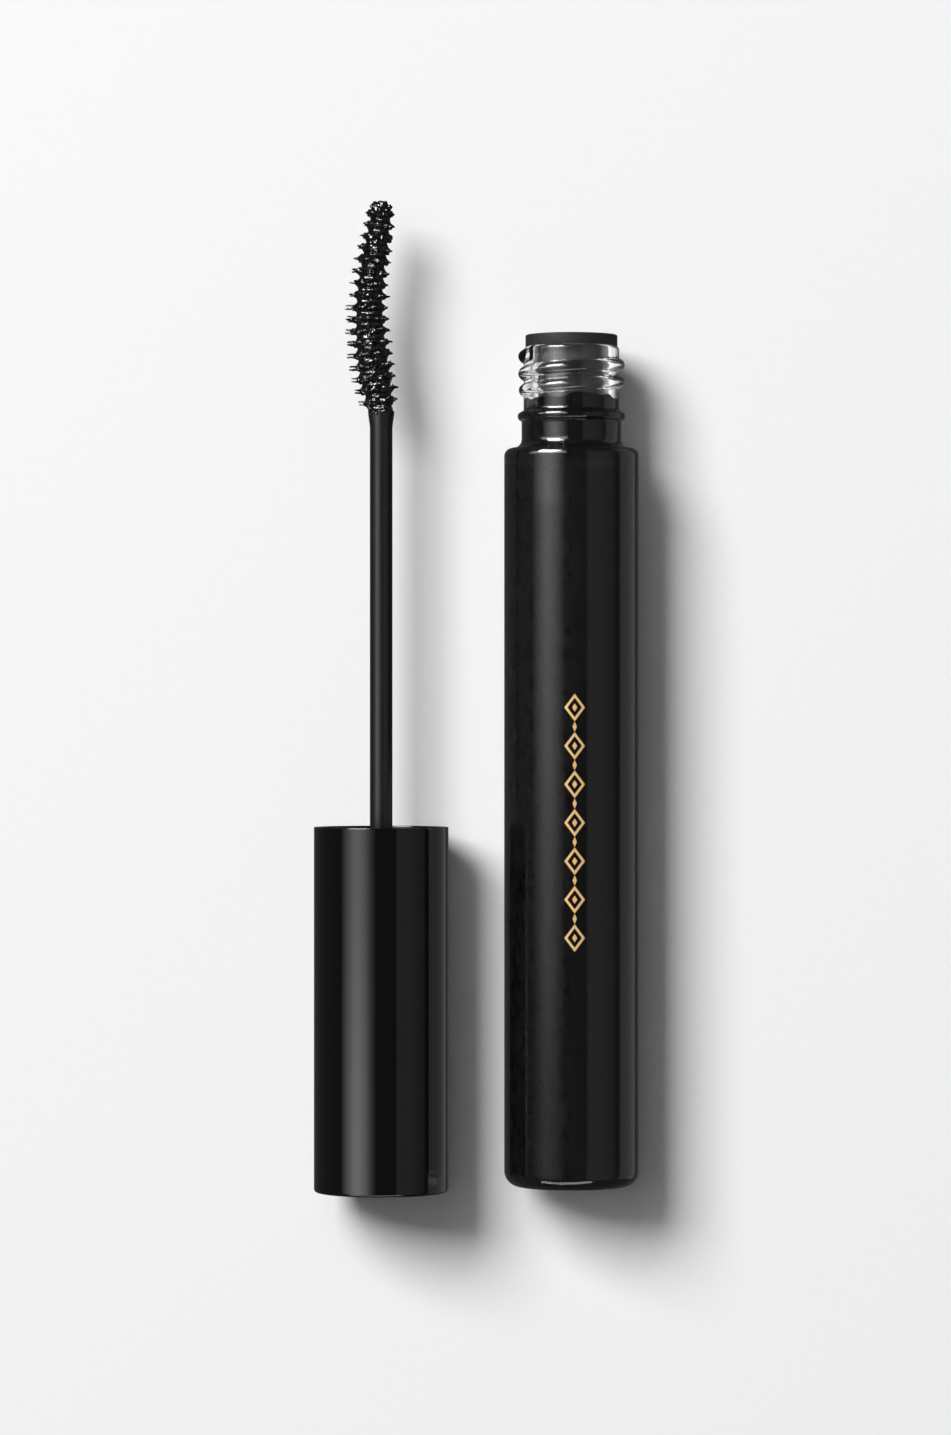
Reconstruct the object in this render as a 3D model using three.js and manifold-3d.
// A mascara, opened: the filled vial and the screw cap with its wand lie side by side.
// Millimetres, Z up. Both tubes lie along Y, with the vial's mouth and the brush towards +Y.
// Each half is drawn about its own Y axis and then placed by a group at the end.

import * as THREE from 'three';
import { mergeVertices } from 'three/addons/utils/BufferGeometryUtils.js';
import Module from 'manifold-3d';

const wasm = await Module();
wasm.setup();

// Both tubes
const tubeDiameter = 16.4;
const axisSpacing = 23.2;
const capSetback = 0.7; // the cap's closed end lies this far behind the vial's base
const facets = 36;

// Vial
const bodyLength = 90;
const vialWall = 1.3;
const vialFloor = 1.2;
const baseCorner = 1.9;
const shoulderCorner = 1.0;
const shoulderFlare = 1.1;
const shoulderSlope = 2.0; // height over which the hollow narrows to the neck's bore
const neckHeight = 12.4;
const neckWall = 1.15;
const lowerNeckStep = 0.25;
const beadStandOut = 0.725;
const beadBottom = 3.3;
const beadThickness = 1.1;
const beadChamfer = 0.3;

// Screw thread of the neck, right-handed, with a round ridge
const threadPitch = 2.117;
const threadStandOut = 0.665;
const ridgeRadius = 0.75;
const threadBottom = 6.9;
const threadTurns = 2.08;
const threadStartAngle = -100;
const runOutTurns = 0.12;
const stepsPerTurn = 24;

// Wiper
const flangeThickness = 1.28;
const flangeInset = 0.22;
const wiperWall = 0.5;
const plugLength = 2.6;
const wiperStep = 0.45;
const wiperTubeLength = 7.0;
const wiperConeLength = 2.6;
const wiperLipWall = 0.35;

// Mascara in the vial
const wellDepthBelowBrush = 2.4;

// Cap
const capLength = 44.5;
const shellWall = 0.75;
const shellEnd = 1.2;
const shellCorner = 0.45;
const linerWall = 0.45;
const linerRecess = 0.6;
const linerCeiling = 1.0;
const skirtMargin = 0.8; // how far the wide skirt reaches past the neck's bead
const weightWall = 2.6;
const weightLength = 19;
const weightClearOfHead = 2.5;

// Wand
const stemDiameter = 2.75;
const headDiameter = 6;
const headThickness = 1.5;
const socketDiameter = 1.8;
const socketDepth = 5;
const brushLength = 25.7;
const brushClearOfFloor = 12.7;
const brushCore = 1.15; // radius
const brushBow = 1.25;
const collarRadius = 1.7;
const collarLength = 1.2;
const spikePitch = 1.41;
const spikesAround = 8;
const spikeLong = 1.75; // on the bowed-out side
const spikeShort = 0.75; // on the hollow side
const spikeBase = 0.34;
const tipRadius = 1.05;
const tipLength = 3;
const beadWall = 0.3;
const beadLength = 2.6;

// Clearances
const seatGap = 0.1; // faces that touch on the real object
const fitGap = 0.25; // pressed-in and filled pieces
const threadGap = 0.2; // running clearance of the screw
const rimGap = 0.3; // closed cap to shoulder
const wiperGap = 0.3; // stem to wiper lip
const wellGap = 0.35; // brush to the mascara's well
const tipGap = 0.15;

// Sizes that follow. The neck is what the cap's wall, liner and clearances leave of the tube.
const tubeRadius = tubeDiameter / 2;
const vialInside = tubeRadius - vialWall;
const shellInside = tubeRadius - shellWall;
const linerOutside = shellInside - fitGap;
const skirtBore = linerOutside - linerWall;
const neckRadius = skirtBore - threadGap - beadStandOut;
const neckBore = neckRadius - neckWall;
const lowerNeckRadius = neckRadius + lowerNeckStep;
const beadRadius = neckRadius + beadStandOut;
const ridgeCentre = neckRadius + threadStandOut - ridgeRadius;
const lip = bodyLength + neckHeight;
const stemRadius = stemDiameter / 2;
const wandReach = bodyLength + rimGap - vialFloor - brushClearOfFloor;
const brushBase = wandReach - brushLength;
const ceilingDepth = neckHeight + seatGap + flangeThickness;
const headBottom = ceilingDepth + linerCeiling + seatGap;

// ---- Helpers ----

function arc(centreRadius, centreY, radius, fromDegrees, toDegrees, steps) {
  const points = [];
  for (let i = 0; i <= steps; i += 1) {
    const angle = THREE.MathUtils.degToRad(fromDegrees + ((toDegrees - fromDegrees) * i) / steps);
    points.push([centreRadius + radius * Math.cos(angle), centreY + radius * Math.sin(angle)]);
  }
  return points;
}

// A profile of [radius, height] points turned about Y. Outer faces are drawn upwards.
function turned(profile, sides = facets) {
  const points = profile.map(([radius, height]) => new THREE.Vector2(radius, height));
  return new THREE.LatheGeometry(points, sides);
}

// A ring-shaped profile closes on its own first point.
function turnedRing(profile) {
  return turned([...profile, profile[0]]);
}

function solidOf(geometry) {
  const bare = geometry.clone();
  bare.deleteAttribute('normal');
  bare.deleteAttribute('uv');
  const merged = mergeVertices(bare);
  const index = merged.index.array;
  const triangles = [];
  for (let i = 0; i < index.length; i += 3) {
    const [a, b, c] = [index[i], index[i + 1], index[i + 2]];
    if (a !== b && b !== c && c !== a) {
      triangles.push(a, b, c);
    }
  }
  const mesh = new wasm.Mesh({
    numProp: 3,
    vertProperties: new Float32Array(merged.attributes.position.array),
    triVerts: new Uint32Array(triangles),
  });
  return new wasm.Manifold(mesh);
}

function geometryOf(solid) {
  const mesh = solid.getMesh();
  const geometry = new THREE.BufferGeometry();
  geometry.setAttribute('position', new THREE.BufferAttribute(mesh.vertProperties, 3));
  geometry.setIndex(new THREE.BufferAttribute(mesh.triVerts, 1));
  geometry.computeVertexNormals();
  return geometry;
}

function piece(name, geometry, colour, roughness, metalness = 0) {
  const material = new THREE.MeshStandardMaterial({ color: colour, roughness, metalness });
  const mesh = new THREE.Mesh(geometry, material);
  mesh.name = name;
  return mesh;
}

// ---- Thread ----

// Right-handed helix about Y. Past its ends the ridge sinks into the neck over runOutTurns.
class ThreadLine extends THREE.Curve {
  constructor(startAngle, startHeight, turns, sinksAtEnds) {
    super();
    Object.assign(this, { startAngle, startHeight, turns, sinksAtEnds });
  }

  getPoint(t, target = new THREE.Vector3()) {
    const turn = this.turns * t;
    const angle = THREE.MathUtils.degToRad(this.startAngle + 360 * turn);
    const fromEnd = Math.min(turn, this.turns - turn);
    const sunk = this.sinksAtEnds ? Math.max(0, 1 - fromEnd / runOutTurns) : 0;
    const radius = ridgeCentre - threadStandOut * sunk;
    const height = this.startHeight + threadPitch * turn;
    return target.set(radius * Math.sin(angle), height, radius * Math.cos(angle));
  }
}

function threadSolid(line, radius) {
  const section = new THREE.Shape();
  section.absarc(0, 0, radius, 0, 2 * Math.PI);
  const steps = Math.ceil(line.turns * stepsPerTurn);
  const geometry = new THREE.ExtrudeGeometry(section, {
    steps,
    curveSegments: 4,
    bevelEnabled: false,
    extrudePath: line,
  });
  return solidOf(geometry);
}

// ---- Vial: base at Y = 0, mouth up ----

function makeBottle() {
  const beadTop = bodyLength + beadBottom + beadThickness;
  const lipChamfer = 0.3;
  const outside = turned([
    [0, 0],
    ...arc(tubeRadius - baseCorner, baseCorner, baseCorner, -90, 0, 5),
    ...arc(tubeRadius - shoulderCorner, bodyLength - shoulderCorner, shoulderCorner, 0, 90, 3),
    ...arc(lowerNeckRadius + shoulderFlare, bodyLength + shoulderFlare, shoulderFlare, 270, 180, 3),
    [lowerNeckRadius, bodyLength + beadBottom],
    [beadRadius, bodyLength + beadBottom + beadChamfer],
    [beadRadius, beadTop - beadChamfer],
    [neckRadius, beadTop],
    [neckRadius, lip - lipChamfer],
    [neckRadius - lipChamfer, lip],
    [0, lip],
  ]);
  const hollowCorner = 1;
  const hollow = turned([
    [0, vialFloor],
    ...arc(vialInside - hollowCorner, vialFloor + hollowCorner, hollowCorner, -90, 0, 3),
    [vialInside, bodyLength - vialWall - shoulderSlope / 2],
    [neckBore, bodyLength - vialWall + shoulderSlope / 2],
    [neckBore, lip + 1],
    [0, lip + 1],
  ]);
  const threadHeight = bodyLength + threadBottom;
  const ridgeLine = new ThreadLine(threadStartAngle, threadHeight, threadTurns, true);
  const ridge = threadSolid(ridgeLine, ridgeRadius);
  const solid = solidOf(outside).add(ridge).subtract(solidOf(hollow));
  return piece('bottle', geometryOf(solid), 0xe8ecec, 0.05);
}

function makeWiper() {
  const plugRadius = neckBore - threadGap;
  const tubeOutside = plugRadius - wiperStep;
  const tubeInside = tubeOutside - wiperWall;
  const lipInside = stemRadius + wiperGap;
  const flangeBottom = lip + seatGap;
  const tubeBottom = lip - wiperTubeLength;
  const geometry = turnedRing([
    [lipInside, tubeBottom - wiperConeLength],
    [lipInside + wiperLipWall, tubeBottom - wiperConeLength],
    [tubeOutside, tubeBottom],
    [tubeOutside, lip - plugLength - wiperStep],
    [plugRadius, lip - plugLength],
    [plugRadius, flangeBottom],
    [neckRadius - flangeInset, flangeBottom],
    [neckRadius - flangeInset, flangeBottom + flangeThickness],
    [tubeInside, flangeBottom + flangeThickness],
    [tubeInside, tubeBottom],
  ]);
  return piece('wiper', geometry, 0x262626, 0.75);
}

// The mascara, with the well that the brush makes for itself when the tube is closed.
function makeFormula() {
  const outside = vialInside - fitGap;
  const bottom = vialFloor + fitGap;
  const top = bodyLength - vialWall - shoulderSlope / 2 - fitGap;
  const well = brushCore + brushBow + spikeLong + wellGap;
  const wellFloor = vialFloor + brushClearOfFloor - wellDepthBelowBrush;
  const corner = 1;
  const geometry = turned([
    [0, bottom],
    ...arc(outside - corner, bottom + corner, corner, -90, 0, 3),
    [outside, top],
    [well, top],
    [well, wellFloor],
    [0, wellFloor],
  ]);
  return piece('formula', geometry, 0x0b0a0a, 0.3);
}

// ---- Cap and wand: open rim at Y = 0, closed end down, brush up ----

function makeCapShell() {
  const geometry = turned([
    [0, -capLength],
    ...arc(tubeRadius - shellCorner, -capLength + shellCorner, shellCorner, -90, 0, 3),
    [tubeRadius, 0],
    [shellInside, 0],
    [shellInside, -capLength + shellEnd],
    [0, -capLength + shellEnd],
  ]);
  return piece('cap_shell', geometry, 0x0a0a0b, 0.08);
}

// The groove is the neck's ridge seen from the closed cap, run on until it meets the skirt.
function makeInnerCap() {
  const skirtDepth = beadBottom + beadThickness + skirtMargin - rimGap;
  const bore = neckRadius + threadGap;
  const blank = turnedRing([
    [stemRadius + threadGap, -(ceilingDepth + linerCeiling)],
    [linerOutside, -(ceilingDepth + linerCeiling)],
    [linerOutside, -linerRecess],
    [skirtBore, -linerRecess],
    [skirtBore, -skirtDepth],
    [bore, -(skirtDepth + skirtBore - bore)],
    [bore, -ceilingDepth],
    [stemRadius + threadGap, -ceilingDepth],
  ]);
  const slackTurns = 0.08;
  const grooveTop = threadBottom + threadPitch * (threadTurns + slackTurns);
  const topAngle = threadStartAngle + 360 * (threadTurns + slackTurns);
  const openEnd = skirtDepth - ridgeRadius;
  const grooveTurns = (grooveTop - rimGap - openEnd) / threadPitch;
  const grooveLine = new ThreadLine(-topAngle, rimGap - grooveTop, grooveTurns, false);
  const groove = threadSolid(grooveLine, ridgeRadius + threadGap);
  return piece('inner_cap', geometryOf(solidOf(blank).subtract(groove)), 0x1a1a1a, 0.5);
}

function makeCapWeight() {
  const outside = shellInside - fitGap - seatGap;
  const nearEnd = -(headBottom + headThickness + weightClearOfHead);
  const geometry = turnedRing([
    [outside - weightWall, nearEnd - weightLength],
    [outside, nearEnd - weightLength],
    [outside, nearEnd],
    [outside - weightWall, nearEnd],
  ]);
  return piece('cap_weight', geometry, 0x9a9c9f, 0.35, 1);
}

function makeStem() {
  const geometry = turned([
    [0, -(headBottom + headThickness)],
    [headDiameter / 2, -(headBottom + headThickness)],
    [headDiameter / 2, -headBottom],
    [stemRadius, -headBottom],
    [stemRadius, brushBase],
    [socketDiameter / 2, brushBase],
    [socketDiameter / 2, brushBase - socketDepth],
    [0, brushBase - socketDepth],
  ], 24);
  return piece('stem', geometry, 0x131314, 0.35);
}

// Centre line of the brush's core, bowed towards -X.
class BrushLine extends THREE.Curve {
  constructor(startY, length) {
    super();
    Object.assign(this, { startY, length });
  }

  getPoint(t, target = new THREE.Vector3()) {
    return target.set(-brushBow * Math.sin(Math.PI * t), this.startY + this.length * t, 0);
  }
}

function makeBrush() {
  const coreLength = brushLength - beadWall - tipGap;
  const bowedLength = coreLength - tipLength + tipRadius / 2 - collarLength / 2;
  const line = new BrushLine(brushBase + collarLength / 2, bowedLength);
  const section = new THREE.Shape();
  section.absarc(0, 0, brushCore, 0, 2 * Math.PI);
  const core = new THREE.ExtrudeGeometry(section, {
    steps: 16,
    curveSegments: 5,
    bevelEnabled: false,
    extrudePath: line,
  });
  const pegRadius = socketDiameter / 2 - tipGap;
  const collarAndPeg = turned([
    [0, brushBase - socketDepth + fitGap],
    [pegRadius, brushBase - socketDepth + fitGap],
    [pegRadius, brushBase + seatGap],
    [collarRadius, brushBase + seatGap],
    [collarRadius, brushBase + collarLength],
    [0, brushBase + collarLength],
  ], 16);
  const tipEnd = brushBase + coreLength;
  const tip = turned([
    [0, tipEnd - tipLength],
    [tipRadius, tipEnd - tipLength],
    ...arc(0, tipEnd - tipRadius, tipRadius, 0, 90, 3),
  ], 16);
  let solid = solidOf(core).add(solidOf(collarAndPeg)).add(solidOf(tip));

  const firstRow = (collarLength + spikePitch) / 2;
  const rows = Math.floor((bowedLength - firstRow) / spikePitch);
  for (let row = 0; row < rows; row += 1) {
    const along = (firstRow + row * spikePitch) / bowedLength;
    const centre = line.getPoint(along);
    const stagger = (row % 2) / 2;
    for (let k = 0; k < spikesAround; k += 1) {
      const angle = (2 * Math.PI * (k + stagger)) / spikesAround;
      const outward = new THREE.Vector3(-Math.cos(angle), 0, Math.sin(angle));
      const bowedOut = (1 + Math.cos(angle)) / 2;
      const standOut = THREE.MathUtils.lerp(spikeShort, spikeLong, bowedOut) * (1 - along ** 3);
      const height = brushCore / 2 + standOut;
      const spike = new THREE.ConeGeometry(spikeBase, height, 4);
      spike.translate(0, brushCore / 2 + height / 2, 0);
      const up = new THREE.Vector3(0, 1, 0);
      spike.applyQuaternion(new THREE.Quaternion().setFromUnitVectors(up, outward));
      spike.translate(centre.x, centre.y, centre.z);
      solid = solid.add(solidOf(spike));
    }
  }
  return piece('brush', geometryOf(solid), 0x111111, 0.4);
}

// Open-ended dome of wet mascara over the brush's tip.
function makeFormulaBead() {
  const outside = tipRadius + tipGap + beadWall;
  const inside = tipRadius + tipGap;
  const domeCentre = wandReach - outside;
  const geometry = turned([
    ...arc(0, domeCentre, inside, 90, 0, 4),
    [inside, wandReach - beadLength],
    [outside, wandReach - beadLength],
    ...arc(0, domeCentre, outside, 0, 90, 4),
  ], 20);
  return piece('formula_bead', geometry, 0x0d0d0d, 0.15);
}

// ---- Assembly: origin under the middle of the pair ----

const overallLength = capLength + wandReach;
const capEndY = -overallLength / 2;

const vial = new THREE.Group();
vial.add(makeBottle(), makeWiper(), makeFormula());
vial.position.set(axisSpacing / 2, capEndY + capSetback, tubeRadius);

const wand = new THREE.Group();
wand.add(makeCapShell(), makeInnerCap(), makeCapWeight(), makeStem(), makeBrush(), makeFormulaBead());
wand.position.set(-axisSpacing / 2, capEndY + capLength, tubeRadius);

const mascara = new THREE.Group();
mascara.add(vial, wand);

export default mascara;
